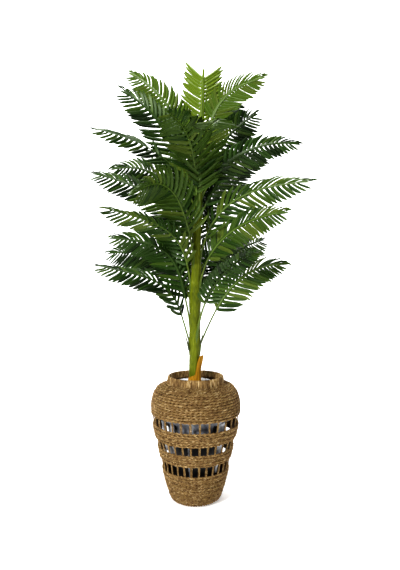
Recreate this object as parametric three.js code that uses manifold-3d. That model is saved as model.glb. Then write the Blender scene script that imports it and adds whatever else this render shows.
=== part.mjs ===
// Artificial areca palm standing in a seagrass basket.
// Millimetres, +Z up. The origin is the centre of the basket's flat underside.

import * as THREE from 'three';
import { mergeVertices } from 'three/addons/utils/BufferGeometryUtils.js';
import Module from 'manifold-3d';

const wasm = await Module();
wasm.setup();

// Clearance between neighbouring solids.
const GAP = 0.3;

// Basket: outer radius against height, from the flat underside to the shoulder.
const BASKET_OUTER = [
  [98, 0], [108, 16], [124, 65], [137, 120], [152, 186], [170, 262], [182.5, 355],
  [185.7, 386], [181.5, 410], [175, 435], [163, 459], [126, 475],
];
const BASKET_INNER = [
  [106, 475], [106, 467], [148, 458], [166, 430], [176, 386], [173, 355],
  [160, 262], [96, 8],
];
const STAKES = 30;
const STAKE_WIDTH = 10;
// Each row of openings: lower height, upper height, radius of the wall there.
const WINDOW_ROWS = [[133.3, 170.2, 144], [221.4, 254.2, 164], [312.6, 349.5, 181]];

// Collar of looped strands round the mouth.
const COLLAR = [
  [106, 475.3], [116, 475.3], [118, 485], [116.5, 497], [111, 502], [104.5, 500], [102, 489],
];

// Nursery pot in the basket, and the plastic film packed over it.
const POT = [[0, 8.3], [84, 8.3], [89, 30], [119, 318], [0, 318]];
const FILM = [
  [0, 318.3], [124, 318.3], [153, 332], [162, 386], [155, 425], [136, 450], [99, 462],
  [98, 472], [0, 472],
];
const GROUND = 472;

// Trunk: radius against height, from its flat foot to its tip.
const TRUNK = [
  [25, 472.3], [23.4, 500], [23, 600], [23, 750], [24, 850], [21, 950], [17, 1056],
  [14, 1150], [11, 1250], [8, 1330], [3.5, 1362],
];
const TRUNK_SIDES = 18;
// Dry sheath round the trunk's foot: mean height of its edge, how much the edge slopes,
// and the tongue that stands up on the right.
const SHEATH = { low: 497, slope: 9, tongue: 84, tongueAt: -0.25, standOff: 8 };
const LEAN_FOOT = -4.4;
const LEAN_RISE = 22;

// Fronds, lowest first: root height, azimuth, angle from upright at the root and at
// the tip, where along the stem the bend is halfway, how sudden it is, length of the
// frond, roll of its blade, share of bare stem, size of its leaflets.
const FRONDS = [
  [633, 6, 23, 87, 0.65, 1.5, 521, 70, 0.28, 1.0],
  [648, 190, 16, 77, 0.44, 2.9, 522, -39, 0.23, 0.92],
  [700, 301, 21, 80, 0.42, 1.1, 516, -39, 0.27, 1.15],
  [720, 100, 14, 92, 0.5, 1.2, 505, -9, 0.27, 1.0],
  [744, 178, 11, 83, 0.54, 2.5, 521, -80, 0.17, 1.0],
  [790, 72, 20, 95, 0.5, 1.2, 500, 15, 0.2, 1.0],
  [816, 154, 20, 92, 0.38, 1.7, 507, -65, 0.28, 1.15],
  [832, 44, 25, 75, 0.28, 1.2, 516, 51, 0.28, 1.15],
  [884, 322, 12, 89, 0.39, 1.1, 496, 85, 0.26, 0.92],
  [886, 210, 11, 80, 0.38, 2.2, 512, 22, 0.17, 0.85],
  [932, 53, 34, 94, 0.36, 1.1, 437, 65, 0.17, 1.15],
  [950, 125, 20, 92, 0.5, 1.2, 500, -29, 0.2, 1.0],
  [1003, 236, 21, 120, 0.59, 2.0, 502, 62, 0.28, 1.15],
  [1013, 341, 18, 88, 0.4, 1.6, 545, 57, 0.2, 1.15],
  [1020, 88, 18, 96, 0.5, 1.2, 490, 2, 0.2, 1.0],
  [1071, 174, 22, 76, 0.3, 1.0, 517, -60, 0.23, 1.0],
  [1085, 49, 25, 86, 0.58, 1.3, 463, 43, 0.2, 1.15],
  [1122, 164, 24, 95, 0.59, 1.3, 487, -78, 0.28, 1.0],
  [1130, 118, 18, 88, 0.5, 1.3, 480, -23, 0.2, 1.0],
  [1160, 76, 12, 75, 0.5, 1.3, 470, 12, 0.2, 1.0],
  [1172, 26, 26, 97, 0.72, 1.2, 449, 65, 0.17, 1.15],
  [1187, 202, 19, 83, 0.42, 1.4, 526, -46, 0.23, 1.0],
  [1189, 250, 5, 90, 0.52, 2.1, 499, 28, 0.2, 1.15],
  [1224, 286, 5, 101, 0.56, 2.6, 457, 4, 0.2, 1.15],
  [1237, 10, 20, 96, 0.47, 0.9, 516, 79, 0.26, 0.92],
  [1239, 193, 21, 66, 0.71, 1.3, 517, -79, 0.28, 1.15],
  [1250, 26, 11, 56, 0.45, 1.2, 477, 75, 0.28, 1.15],
  [1254, 117, 14, 27, 0.51, 1.3, 459, -22, 0.17, 1.15],
  [1307, 70, 3, 6, 0.5, 1.3, 500, 21, 0.25, 1.25],
  [1309, 347, 5, 77, 0.64, 2.0, 521, 79, 0.24, 1.0],
  [1315, 170, 13, 59, 0.61, 1.2, 563, -79, 0.28, 0.92],
  [1331, 38, 5, 94, 0.62, 3.0, 472, 84, 0.23, 1.15],
];
// The three young fronds at the top are brighter.
const YOUNG = [29, 30, 31];

// Blade of a frond: where it ends along the stem, and its leaflets. Keel is how far
// the leaflets rise above the blade's plane, at its foot and at its tip.
const BLADE_END = 0.94;
const BAR_STEPS = 8;
const LEAVES_A_SIDE = 10;
const LEAF_LENGTH = 120;
const LEAF_WIDTH = 26;
const LEAF_THICK = 1.8;
const STEM_RADIUS = [4.4, 1.6];
// How far a stem's foot stands out from the trunk's surface: its inner flat is half its
// radius nearer, and is trimmed where the trunk comes closer than the clearance.
const SEAT = 2.4;
const KEEL = [4, -10];
const DROOP = 0.12;

const { degToRad, lerp, clamp } = THREE.MathUtils;

function toSolid(geometry) {
  const bare = geometry.clone();
  bare.deleteAttribute('normal');
  bare.deleteAttribute('uv');
  const merged = mergeVertices(bare, 1e-4);
  const vertProperties = new Float32Array(merged.attributes.position.array);
  const triVerts = new Uint32Array(merged.index.array);
  const solid = new wasm.Manifold(new wasm.Mesh({ numProp: 3, vertProperties, triVerts }));
  if (solid.volume() > 0) return solid;
  // A mirrored mesh has its faces turned inwards, so their order is reversed.
  triVerts.reverse();
  return new wasm.Manifold(new wasm.Mesh({ numProp: 3, vertProperties, triVerts }));
}

function toGeometry(solid) {
  const mesh = solid.getMesh();
  const geometry = new THREE.BufferGeometry();
  geometry.setAttribute('position', new THREE.BufferAttribute(new Float32Array(mesh.vertProperties), 3));
  geometry.setIndex(new THREE.BufferAttribute(new Uint32Array(mesh.triVerts), 1));
  geometry.computeVertexNormals();
  return geometry;
}

// The largest body of a cut solid, without its loose scraps.
function largest(solid) {
  return solid.decompose().sort((a, b) => b.volume() - a.volume())[0];
}

// Moves every vertex of a geometry through a function of its position.
function reshape(geometry, place) {
  const position = geometry.attributes.position;
  const point = new THREE.Vector3();
  for (let i = 0; i < position.count; i += 1) {
    point.fromBufferAttribute(position, i);
    const moved = place(point);
    position.setXYZ(i, moved.x, moved.y, moved.z);
  }
  return geometry;
}

// Turns a profile of [radius, height] pairs round the vertical axis.
function turned(profile, segments) {
  const points = profile.map(([r, z]) => new THREE.Vector2(r, z));
  const lathe = new THREE.LatheGeometry(points, segments);
  lathe.rotateX(Math.PI / 2);
  return toSolid(lathe);
}

// Convex pieces, and whether two of them lie apart.

function convex(geometry) {
  const bare = geometry.clone();
  bare.deleteAttribute('normal');
  bare.deleteAttribute('uv');
  const merged = mergeVertices(bare, 1e-4);
  const points = [];
  for (let i = 0; i < merged.attributes.position.count; i += 1) {
    points.push(new THREE.Vector3().fromBufferAttribute(merged.attributes.position, i));
  }
  const index = merged.index.array;
  const normals = [];
  const edges = new Map();
  for (let i = 0; i < index.length; i += 3) {
    const corner = [index[i], index[i + 1], index[i + 2]];
    const [a, b, c] = corner.map((k) => points[k]);
    const normal = b.clone().sub(a).cross(c.clone().sub(a));
    if (normal.length() > 1e-9) normals.push(normal.normalize());
    corner.forEach((from, k) => {
      const to = corner[(k + 1) % 3];
      edges.set(`${Math.min(from, to)}-${Math.max(from, to)}`, points[to].clone().sub(points[from]));
    });
  }
  const box = new THREE.Box3().setFromPoints(points);
  return { points, normals, edges: [...edges.values()], box };
}

function span(points, axis) {
  let low = Infinity;
  let high = -Infinity;
  for (const point of points) {
    const along = point.dot(axis);
    if (along < low) low = along;
    if (along > high) high = along;
  }
  return [low, high];
}

function splitBy(axis, one, two, gap) {
  const [low1, high1] = span(one.points, axis);
  const [low2, high2] = span(two.points, axis);
  return low1 - high2 > gap || low2 - high1 > gap;
}

function apart(one, two, gap) {
  if (!one.box.clone().expandByScalar(gap).intersectsBox(two.box)) return true;
  if (one.normals.some((axis) => splitBy(axis, one, two, gap))) return true;
  if (two.normals.some((axis) => splitBy(axis, one, two, gap))) return true;
  const axis = new THREE.Vector3();
  for (const first of one.edges) {
    for (const second of two.edges) {
      axis.crossVectors(first, second);
      if (axis.lengthSq() < 1e-6) continue;
      if (splitBy(axis.normalize(), one, two, gap)) return true;
    }
  }
  return false;
}

function radiusAt(profile, z) {
  for (let i = 1; i < profile.length; i += 1) {
    const [r1, z1] = profile[i];
    const [r0, z0] = profile[i - 1];
    if (z <= z1) return lerp(r0, r1, clamp((z - z0) / (z1 - z0), 0, 1));
  }
  return profile[profile.length - 1][0];
}

// The trunk leans a little to +X, more towards its tip.
function leanAt(z) {
  const rise = (z - 500) / 830;
  return LEAN_FOOT + LEAN_RISE * rise * rise;
}

function trunkSolid(extra) {
  const foot = TRUNK[0][1];
  const top = TRUNK[TRUNK.length - 1][1];
  const profile = [[0, foot - extra], ...TRUNK.map(([r, z]) => [r + extra, z]), [0, top + extra]];
  profile[1][1] -= extra;
  profile[profile.length - 2][1] += extra;
  const points = profile.map(([r, z]) => new THREE.Vector2(r, z));
  const lathe = new THREE.LatheGeometry(points, TRUNK_SIDES);
  lathe.rotateX(Math.PI / 2);
  reshape(lathe, (p) => new THREE.Vector3(p.x + leanAt(p.z), p.y, p.z));
  return toSolid(lathe);
}

function trunkPieces() {
  const pieces = [];
  for (let i = 1; i < TRUNK.length; i += 1) {
    const [r0, z0] = TRUNK[i - 1];
    const [r1, z1] = TRUNK[i];
    const steps = Math.ceil((z1 - z0) / 60);
    for (let k = 0; k < steps; k += 1) {
      const low = lerp(z0, z1, k / steps);
      const high = lerp(z0, z1, (k + 1) / steps);
      const wide = 1.04;
      const frustum = new THREE.CylinderGeometry(
        wide * lerp(r0, r1, (k + 1) / steps), wide * lerp(r0, r1, k / steps), high - low, 12);
      frustum.rotateX(Math.PI / 2);
      frustum.translate(leanAt((low + high) / 2), 0, (low + high) / 2);
      pieces.push(convex(frustum));
    }
  }
  return pieces;
}

// A stem is a plane arc that leaves the trunk upwards and bends outwards.
function stemOf([rootHeight, azimuth, startAngle, endAngle, middle, sudden, length, roll, bare, size]) {
  const steps = 60;
  const turn = degToRad(azimuth);
  const out = new THREE.Vector3(Math.cos(turn), Math.sin(turn), 0);
  const side = new THREE.Vector3(-Math.sin(turn), Math.cos(turn), 0);
  const up = new THREE.Vector3(0, 0, 1);
  const start = radiusAt(TRUNK, rootHeight) + SEAT;
  const at = out.clone().multiplyScalar(start).setZ(rootHeight);
  at.x += leanAt(rootHeight);
  const points = [at.clone()];
  const tangents = [];
  for (let i = 0; i < steps; i += 1) {
    const s = (i + 0.5) / steps;
    const before = s ** sudden;
    const after = (middle / (1 - middle) * (1 - s)) ** sudden;
    const angle = degToRad(lerp(startAngle, endAngle, before / (before + after)));
    const tangent = out.clone().multiplyScalar(Math.sin(angle)).addScaledVector(up, Math.cos(angle));
    at.addScaledVector(tangent, length / steps);
    points.push(at.clone());
    tangents.push(tangent);
  }
  return { points, tangents, side, roll: degToRad(roll), length, bare, size, steps };
}

// Place on a stem: point, direction, the blade's side and the blade's upper face.
function placeOn(stem, along) {
  const exact = clamp(along, 0, 1) * stem.steps;
  const i = Math.min(Math.floor(exact), stem.steps - 1);
  const point = stem.points[i].clone().lerp(stem.points[i + 1], exact - i);
  const tangent = stem.tangents[i].clone();
  const face0 = tangent.clone().cross(stem.side);
  const turned0 = stem.roll * clamp(along / stem.bare, 0, 1);
  const side = stem.side.clone().multiplyScalar(Math.cos(turned0)).addScaledVector(face0, Math.sin(turned0));
  const face = tangent.clone().cross(side);
  return { point, tangent, side, face };
}

function stemRadius(along) {
  return lerp(STEM_RADIUS[0], STEM_RADIUS[1], along);
}

// Places along a stem, closer together where it bends more.
function stopsOn(stem, count) {
  const reach = [0];
  stem.tangents.forEach((tangent, i) => {
    const bend = i > 0 ? tangent.angleTo(stem.tangents[i - 1]) : 0;
    reach.push(reach[i] + 1 / stem.steps + 0.8 * bend);
  });
  const end = reach[Math.round(BLADE_END * stem.steps)];
  const stops = [];
  for (let n = 0; n <= count; n += 1) {
    const i = clamp(reach.findIndex((value) => value >= end * n / count), 1, stem.steps);
    const part = (end * n / count - reach[i - 1]) / (reach[i] - reach[i - 1]);
    stops.push((i - 1 + part) / stem.steps);
  }
  return stops;
}

// Three-sided tapered stem through some places along it.
function stemBar(stem, stops) {
  const bar = new THREE.CylinderGeometry(1, 1, 1, 3, stops.length - 1);
  return reshape(bar, (p) => {
    const along = stops[Math.round((p.y + 0.5) * (stops.length - 1))];
    const { point, side, face } = placeOn(stem, along);
    const r = stemRadius(along);
    return point.addScaledVector(side, p.x * r).addScaledVector(face, -p.z * r);
  });
}

// Size and angle of a leaflet by its place in the blade, 0 at its foot, 1 at its tip.
function leafSize(v) {
  if (v < 0.35) return LEAF_LENGTH * lerp(0.8, 1, Math.sin(Math.PI / 2 * v / 0.35));
  return LEAF_LENGTH * lerp(1, 0.4, clamp((v - 0.5) / 0.5, 0, 1) ** 1.6);
}

function leafAngle(v) {
  return degToRad(50 - 22 * v - 8 * v * v);
}

// A six-faced spindle with a ridge along its upper face. Its place function turns
// (t along it, share of half its width, share of its thickness) into a point.
function spindle(place) {
  return reshape(new THREE.SphereGeometry(1, 3, 2), (p) => {
    const t = p.y > 0.5 ? 0 : (p.y < -0.5 ? 1 : 0.42);
    return place(t, p.z / 0.866, -p.x / 1.5);
  });
}

function leaflet(stem, v, hand, lift, scale) {
  const along = lerp(stem.bare, BLADE_END, v);
  const { point, tangent, side, face } = placeOn(stem, along);
  const angle = leafAngle(v);
  const keel = degToRad(lerp(KEEL[0], KEEL[1], v) + lift);
  const aside = side.clone().multiplyScalar(hand * Math.cos(keel)).addScaledVector(face, Math.sin(keel));
  const way = tangent.clone().multiplyScalar(Math.cos(angle)).addScaledVector(aside, Math.sin(angle));
  const across = tangent.clone().addScaledVector(way, -tangent.dot(way)).normalize();
  const normal = way.clone().cross(across).multiplyScalar(hand);
  const length = leafSize(v) * stem.size * scale;
  const width = LEAF_WIDTH * clamp(length / LEAF_LENGTH + 0.1, 0.5, 1);
  return spindle((t, w, h) => {
    const at = point.clone().addScaledVector(way, length * t);
    at.z -= DROOP * length * t * t;
    return at.addScaledVector(across, w * width / 2).addScaledVector(normal, h * LEAF_THICK);
  });
}

// The blade ends in one leaflet that carries the stem's line on.
function endLeaflet(stem) {
  const { point, tangent, side, face } = placeOn(stem, BLADE_END - 0.01);
  const length = stem.length * (1 - BLADE_END) + 30;
  return spindle((t, w, h) => point.clone().addScaledVector(tangent, length * t)
    .addScaledVector(side, w * 7).addScaledVector(face, h * LEAF_THICK));
}

const SHIFTS = [[0, 1], [9, 1], [-9, 1], [18, 1], [-18, 0.95], [0, 0.8], [14, 0.8], [-14, 0.8],
  [28, 0.9], [0, 0.62], [22, 0.62], [-22, 0.62], [34, 0.7], [0, 0.45]];

// Leaflets keep clear of the trunk, of every stem but their own and of the
// leaflets of other fronds. One that finds no room in any of its trial places is left out.
function growFronds(stems, obstacles) {
  const bars = stems.map((stem) => {
    const stops = stopsOn(stem, 12);
    return stops.slice(1).map((stop, i) => convex(stemBar(stem, [stops[i], stop])));
  });
  const blades = stems.map((stem) => {
    const end = endLeaflet(stem);
    return [{ geometry: end, hull: convex(end) }];
  });
  for (let n = 0; n < LEAVES_A_SIDE; n += 1) {
    stems.forEach((stem, own) => {
      for (const hand of [-1, 1]) {
        const v = (n + 0.5 + 0.2 * hand) / LEAVES_A_SIDE;
        for (const [lift, scale] of SHIFTS) {
          const geometry = leaflet(stem, v, hand, lift, scale);
          const hull = convex(geometry);
          const clearOf = (piece) => apart(hull, piece, 2 * GAP);
          const free = obstacles.every(clearOf)
            && bars.every((pieces, k) => k === own || pieces.every(clearOf))
            && blades.every((leaves, k) => k === own || leaves.every((leaf) => clearOf(leaf.hull)));
          if (free) {
            blades[own].push({ geometry, hull });
            break;
          }
        }
      }
    });
  }
  return blades;
}

const group = new THREE.Group();

function add(name, solid, color, roughness) {
  const material = new THREE.MeshStandardMaterial({ color, roughness, metalness: 0 });
  const mesh = new THREE.Mesh(toGeometry(solid), material);
  mesh.name = name;
  group.add(mesh);
}

// Basket body: a turned wall with a floor, pierced between the stakes.
let basket = turned([[0, 0], ...BASKET_OUTER, ...BASKET_INNER, [0, 8]], STAKES);
for (const [low, high, radius] of WINDOW_ROWS) {
  const width = 2 * Math.PI * (radius - 4) / STAKES - STAKE_WIDTH;
  for (let i = 0; i < STAKES; i += 1) {
    const cut = new THREE.BoxGeometry(60, width, high - low);
    cut.translate(radius, 0, (low + high) / 2);
    cut.rotateZ((2 * Math.PI * (i + 0.5)) / STAKES);
    basket = basket.subtract(toSolid(cut));
  }
}
add('basket_body', basket, 0x9c7d4a, 0.8);
add('basket_collar', turned([...COLLAR, COLLAR[0]], STAKES), 0xa88a55, 0.8);
add('nursery_pot', turned(POT, 24), 0x0c0c0c, 0.5);
add('film_packing', turned(FILM, 24), 0xd8dadd, 0.25);

// Trunk with the dry sheath round its foot and two sheath tips.
const trunk = trunkSolid(0);
const trunkRoom = trunkSolid(GAP);
add('trunk', trunk, 0x7c8a2c, 0.55);

// A thin shell whose upper edge is low all round but for one tongue on the right,
// which rises and stands a little off the trunk.
function sheathEdge(turn) {
  const off = Math.atan2(Math.sin(turn - SHEATH.tongueAt), Math.cos(turn - SHEATH.tongueAt));
  return SHEATH.low + SHEATH.slope * Math.cos(off) + SHEATH.tongue * Math.exp(-((off / 0.42) ** 2));
}
const sheathShell = new THREE.LatheGeometry(
  [[20, 0], [28, 0], [27.8, 0.5], [27.4, 1], [20, 1], [20, 0]].map(([r, f]) => new THREE.Vector2(r, f)), 24);
sheathShell.rotateX(Math.PI / 2);
reshape(sheathShell, (p) => {
  const turn = Math.atan2(p.y, p.x);
  const foot = GROUND + GAP;
  const z = foot + p.z * (sheathEdge(turn) - foot);
  const off = SHEATH.standOff * clamp((z - 515) / 75, 0, 1) ** 1.5;
  const r = Math.hypot(p.x, p.y) + off;
  return new THREE.Vector3(r * Math.cos(turn) + leanAt(z), r * Math.sin(turn), z);
});
add('foot_sheath', largest(toSolid(sheathShell).subtract(trunkRoom)), 0xb98a1e, 0.6);

function spike(name, foot, tip, radius) {
  const way = new THREE.Vector3().subVectors(tip, foot);
  const cone = new THREE.CylinderGeometry(0.5, radius, way.length(), 6);
  cone.rotateX(Math.PI / 2);
  const turn = new THREE.Quaternion().setFromUnitVectors(new THREE.Vector3(0, 0, 1), way.clone().normalize());
  cone.applyQuaternion(turn);
  const middle = foot.clone().add(tip).multiplyScalar(0.5);
  cone.translate(middle.x, middle.y, middle.z);
  add(name, toSolid(cone).subtract(trunkRoom), 0x3f4a20, 0.6);
  return convex(cone);
}
const spikes = [
  spike('sheath_tip_left', new THREE.Vector3(-26.9, -10.5, 612), new THREE.Vector3(-46, -17, 679), 3),
  spike('sheath_tip_right', new THREE.Vector3(20.8, -5, 640), new THREE.Vector3(33.5, -11, 687), 3),
];

// Fronds.
const stems = FRONDS.map(stemOf);
const blades = growFronds(stems, [...trunkPieces(), ...spikes]);
stems.forEach((stem, i) => {
  const bar = toSolid(stemBar(stem, stopsOn(stem, BAR_STEPS)));
  const leaves = blades[i].map(({ geometry }) => toSolid(geometry));
  const joined = leaves.reduce((whole, leaf) => whole.add(leaf), bar);
  const name = `frond_${String(i + 1).padStart(2, '0')}`;
  const color = YOUNG.includes(i + 1) ? 0x6f9a1c : 0x2c5220;
  add(name, largest(joined.subtract(trunkRoom)), color, 0.5);
});

export default group;
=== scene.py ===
# %% [markdown]
# # Artificial areca palm in a seagrass basket
# The real thing is a decoration palm: printed cloth leaflets on wire stems, a moulded
# trunk that stands in a black nursery pot, packing film stuffed round it, and a tall
# belly-shaped basket woven of twisted seagrass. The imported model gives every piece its
# place and size, so we load it first and never move it. Sizes below are in millimetres,
# the way a maker would measure them, and become metres only when a mesh is written.

# %% Load the fixed frame
import math
import bpy
import bmesh
import numpy as np
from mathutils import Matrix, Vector, noise
from mathutils.bvhtree import BVHTree


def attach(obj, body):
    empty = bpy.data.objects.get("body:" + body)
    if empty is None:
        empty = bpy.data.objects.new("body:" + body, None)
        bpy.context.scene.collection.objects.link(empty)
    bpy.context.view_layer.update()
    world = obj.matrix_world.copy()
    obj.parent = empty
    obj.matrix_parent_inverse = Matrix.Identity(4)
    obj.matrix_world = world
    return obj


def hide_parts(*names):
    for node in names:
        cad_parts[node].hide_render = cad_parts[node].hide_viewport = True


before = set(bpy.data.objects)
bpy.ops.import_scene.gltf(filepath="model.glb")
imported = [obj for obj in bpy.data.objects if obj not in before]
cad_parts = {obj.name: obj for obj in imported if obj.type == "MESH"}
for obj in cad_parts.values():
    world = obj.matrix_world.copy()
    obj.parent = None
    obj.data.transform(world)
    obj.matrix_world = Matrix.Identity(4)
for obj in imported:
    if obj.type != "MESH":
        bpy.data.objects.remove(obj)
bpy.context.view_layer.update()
luck = np.random.default_rng(11)

# %% [markdown]
# ## Camera
# The picture was taken from 1.87 m away with the lens 0.87 m above the floor and held
# level: the basket's mouth and foot show as ellipses while the trunk stays upright. A
# level camera needs no shift, because the horizon lies across the middle of the frame.

# %% Camera at the photograph's viewpoint
view = bpy.data.objects.new("view", bpy.data.cameras.new("view"))
bpy.context.scene.collection.objects.link(view)
view.location = (0.018, -1.866, 0.874)
view.rotation_euler = (math.radians(90), 0, 0)
FOCAL, TALL = 450, 570  # focal length and height of the picture, in its pixels
view.data.lens = view.data.sensor_width * FOCAL / TALL
bpy.context.scene.camera = view
print("lens", round(view.data.lens, 1), "mm")

# %% [markdown]
# ## Floor and light
# A pale sweep, flat under the basket and curving up far behind it, gives the even white
# of a studio. It is one grid whose far rows are lifted along a quarter circle, and it glows
# a little so that it stays white. A small key lamp from the front left keeps the shadows
# between the leaflets, a wide weak one fills them from the right, one lamp hangs above, and
# one lights the sweep behind. The world adds next to nothing.

# %% Pale sweep
FLAT, CURVE = 2.2, 1.6  # metres of flat floor behind the basket, radius of the curve
bm = bmesh.new()
bmesh.ops.create_grid(bm, x_segments=2, y_segments=80, size=8)
for vert in bm.verts:
    past = vert.co.y - FLAT
    if past > 0:
        turn = min(past / CURVE, math.pi / 2)
        vert.co.y = FLAT + CURVE * math.sin(turn)
        vert.co.z = CURVE * (1 - math.cos(turn)) + max(0, past - CURVE * math.pi / 2)
sweep_mesh = bpy.data.meshes.new("sweep")
bm.to_mesh(sweep_mesh)
bm.free()
sweep_mesh.shade_smooth()
sweep = bpy.data.objects.new("sweep", sweep_mesh)
bpy.context.scene.collection.objects.link(sweep)
print("sweep faces", len(sweep_mesh.polygons))

# %% Soft lamps


def lamp(name, place, aim, size, power):
    """A square area lamp that points at a spot."""
    light = bpy.data.lights.new(name, "AREA")
    light.size = size
    light.energy = power
    holder = bpy.data.objects.new(name, light)
    holder.location = place
    holder.rotation_euler = (Vector(aim) - Vector(place)).to_track_quat("-Z", "Y").to_euler()
    bpy.context.scene.collection.objects.link(holder)


lamp("key", (-2.4, -3.4, 3.6), (0, 0, 0.9), 0.9, 250)
lamp("fill", (3.0, -3.2, 1.6), (0, 0, 0.7), 2.0, 36)
lamp("top", (0.2, 0.3, 4.6), (0, 0, 1.0), 1.0, 100)
lamp("backdrop", (0, 1.6, 4.2), (0, 4.0, 2.6), 2.4, 200)
world = bpy.data.worlds.new("studio")
world.use_nodes = True
studio = world.node_tree
backdrop = studio.nodes["Background"]
backdrop.inputs["Color"].default_value = (1, 1, 1, 1)
# The camera sees a pale room past the sweep, while the light that it sheds stays faint.
rays = studio.nodes.new("ShaderNodeLightPath")
glow = studio.nodes.new("ShaderNodeMapRange")
glow.inputs["To Min"].default_value = 0.06
glow.inputs["To Max"].default_value = 0.9
studio.links.new(rays.outputs["Is Camera Ray"], glow.inputs["Value"])
studio.links.new(glow.outputs["Result"], backdrop.inputs["Strength"])
bpy.context.scene.world = world
bpy.context.scene.view_settings.view_transform = "Standard"
bpy.context.scene.view_settings.look = "Medium High Contrast"
print("lamps", [lit.name for lit in bpy.data.lights])

# %% [markdown]
# ## Helpers for finishes
# Every finish here is a Principled shader with a pattern wired into its colour or its
# bump. One helper turns colours as seen on a screen, 0 to 255, into the linear values that
# the shader wants. Another makes the material and adds and wires its nodes, so each recipe
# below reads as a short list. A third is the recipe of those finishes whose colour and
# bump follow one noise.

# %% Finish helpers


def seen(red, green, blue):
    """A screen colour as a linear one."""
    parts = [c / 255 for c in (red, green, blue)]
    return tuple(c / 12.92 if c <= 0.04045 else ((c + 0.055) / 1.055) ** 2.4 for c in parts) + (1,)


class Finish:
    """A material with its shader, and a short way to add and wire nodes."""

    def __init__(self, name, colour, roughness, **values):
        self.material = bpy.data.materials.new(name)
        self.material.use_nodes = True
        self.tree = self.material.node_tree
        self.shader = self.tree.nodes["Principled BSDF"]
        self.shader.inputs["Base Color"].default_value = seen(*colour)
        self.shader.inputs["Roughness"].default_value = roughness
        for key, value in values.items():
            self.shader.inputs[key.replace("_", " ")].default_value = value

    def add(self, kind, inputs=(), **settings):
        made = self.tree.nodes.new("ShaderNode" + kind)
        for key, value in settings.items():
            setattr(made, key, value)
        for key, value in dict(inputs).items():
            if isinstance(value, bpy.types.NodeSocket):
                self.tree.links.new(value, made.inputs[key])
            else:
                made.inputs[key].default_value = value
        return made

    def wire(self, output, socket):
        self.tree.links.new(output, self.shader.inputs[socket])

    def ramp(self, value, stops):
        """Colours by a value: stops are (place, (r, g, b))."""
        made = self.add("ValToRGB", {"Fac": value})
        while len(made.color_ramp.elements) < len(stops):
            made.color_ramp.elements.new(0.5)
        for element, (place, colour) in zip(made.color_ramp.elements, stops):
            element.position = place
            element.color = seen(*colour)
        return made.outputs["Color"]

    def tones(self, value, stops):
        """Colours the surface by a value."""
        self.wire(self.ramp(value, stops), "Base Color")

    def strand(self, scale):
        """A piece's own map, stretched: X runs along the strand, Y round it."""
        source = self.add("UVMap", uv_map="strand")
        made = self.add("Mapping", {"Vector": source.outputs["UV"], "Scale": scale})
        return made.outputs["Vector"]

    def spot(self, scale):
        """The piece's own place in metres, stretched."""
        source = self.add("TexCoord")
        made = self.add("Mapping", {"Vector": source.outputs["Object"], "Scale": scale})
        return made.outputs["Vector"]

    def cloud(self, vector, scale, detail=2.0, rough=0.5):
        inputs = {"Vector": vector, "Scale": scale, "Detail": detail, "Roughness": rough}
        return self.add("TexNoise", inputs).outputs["Fac"]

    def bump(self, height, strength, distance):
        made = self.add("Bump", {"Height": height, "Strength": strength, "Distance": distance})
        self.wire(made.outputs["Normal"], "Normal")

    def blend(self, factor, one, two, kind="MIX"):
        made = self.add("Mix", data_type="RGBA", blend_type=kind)
        colours = [socket for socket in made.inputs if socket.type == "RGBA"]
        for socket, value in zip([made.inputs[0], *colours], (factor, one, two)):
            if isinstance(value, bpy.types.NodeSocket):
                self.tree.links.new(value, socket)
            else:
                socket.default_value = value
        return [socket for socket in made.outputs if socket.type == "RGBA"][0]


def grained(name, colour, roughness, scale, detail, stops, strength, depth, **values):
    """A finish whose colour and bump both follow one noise along the strand."""
    made = Finish(name, colour, roughness, **values)
    grain = made.cloud(made.strand(scale), 1.0, detail)
    made.tones(grain, stops)
    made.bump(grain, strength, depth)
    return made


# %% Floor finish
pale = Finish("pale_floor", (246, 246, 246), 0.9)
speckle = pale.cloud(pale.spot((1, 1, 1)), 40, 3)
pale.tones(speckle, [(0.3, (244, 244, 244)), (0.7, (248, 248, 248))])
pale.shader.inputs["Emission Color"].default_value = (1, 1, 1, 1)
pale.shader.inputs["Emission Strength"].default_value = 0.3
sweep_mesh.materials.append(pale.material)
print("floor finish", pale.material.name)

# %% [markdown]
# ## A tube to bend everything from
# Cords, stems and leaflets are all long and round in some way. An operator makes a flat
# grid once, we roll it up and weld its seam, and each vertex remembers its place along
# the tube and round it. Any path can then be given to copies of that one template, which
# is far quicker than building hundreds of curves, and every tube stays closed.

# %% Tube template


def tube(steps, sides, ring=False, pointed=False):
    """Places along a rolled-up grid, angles round it, its triangles and its corner map."""
    bm = bmesh.new()
    corner = bm.loops.layers.uv.new("strand")
    bmesh.ops.create_grid(bm, x_segments=steps, y_segments=sides, size=0.5, calc_uvs=True)
    memory = bm.verts.layers.float_vector.new("place")
    for vert in bm.verts:
        along, around = vert.co.x + 0.5, vert.co.y + 0.5
        vert[memory] = (along, around, 0)
        turn, lap = 2 * math.pi * around, 2 * math.pi * along
        if ring:
            reach = 3 + math.cos(turn)
            vert.co = (reach * math.cos(lap), reach * math.sin(lap), math.sin(turn))
        else:
            wide = 0 if pointed and not 1e-5 < along < 1 - 1e-5 else 1
            vert.co = (wide * math.cos(turn), wide * math.sin(turn), 10 * along)
    bmesh.ops.remove_doubles(bm, verts=bm.verts, dist=1e-4)
    rims = [edge for edge in bm.edges if edge.is_boundary]
    bmesh.ops.holes_fill(bm, edges=rims, sides=0)
    bmesh.ops.triangulate(bm, faces=bm.faces)
    bmesh.ops.recalc_face_normals(bm, faces=bm.faces)
    bm.verts.index_update()
    places = np.array([vert[memory][:2] for vert in bm.verts])
    corners = np.array([[loop.vert.index for loop in face.loops] for face in bm.faces])
    maps = np.array([[loop[corner].uv[:] for loop in face.loops] for face in bm.faces])
    bm.free()
    return places[:, 0], 2 * np.pi * places[:, 1], corners, maps


# %% Points, corner maps and facing


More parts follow.
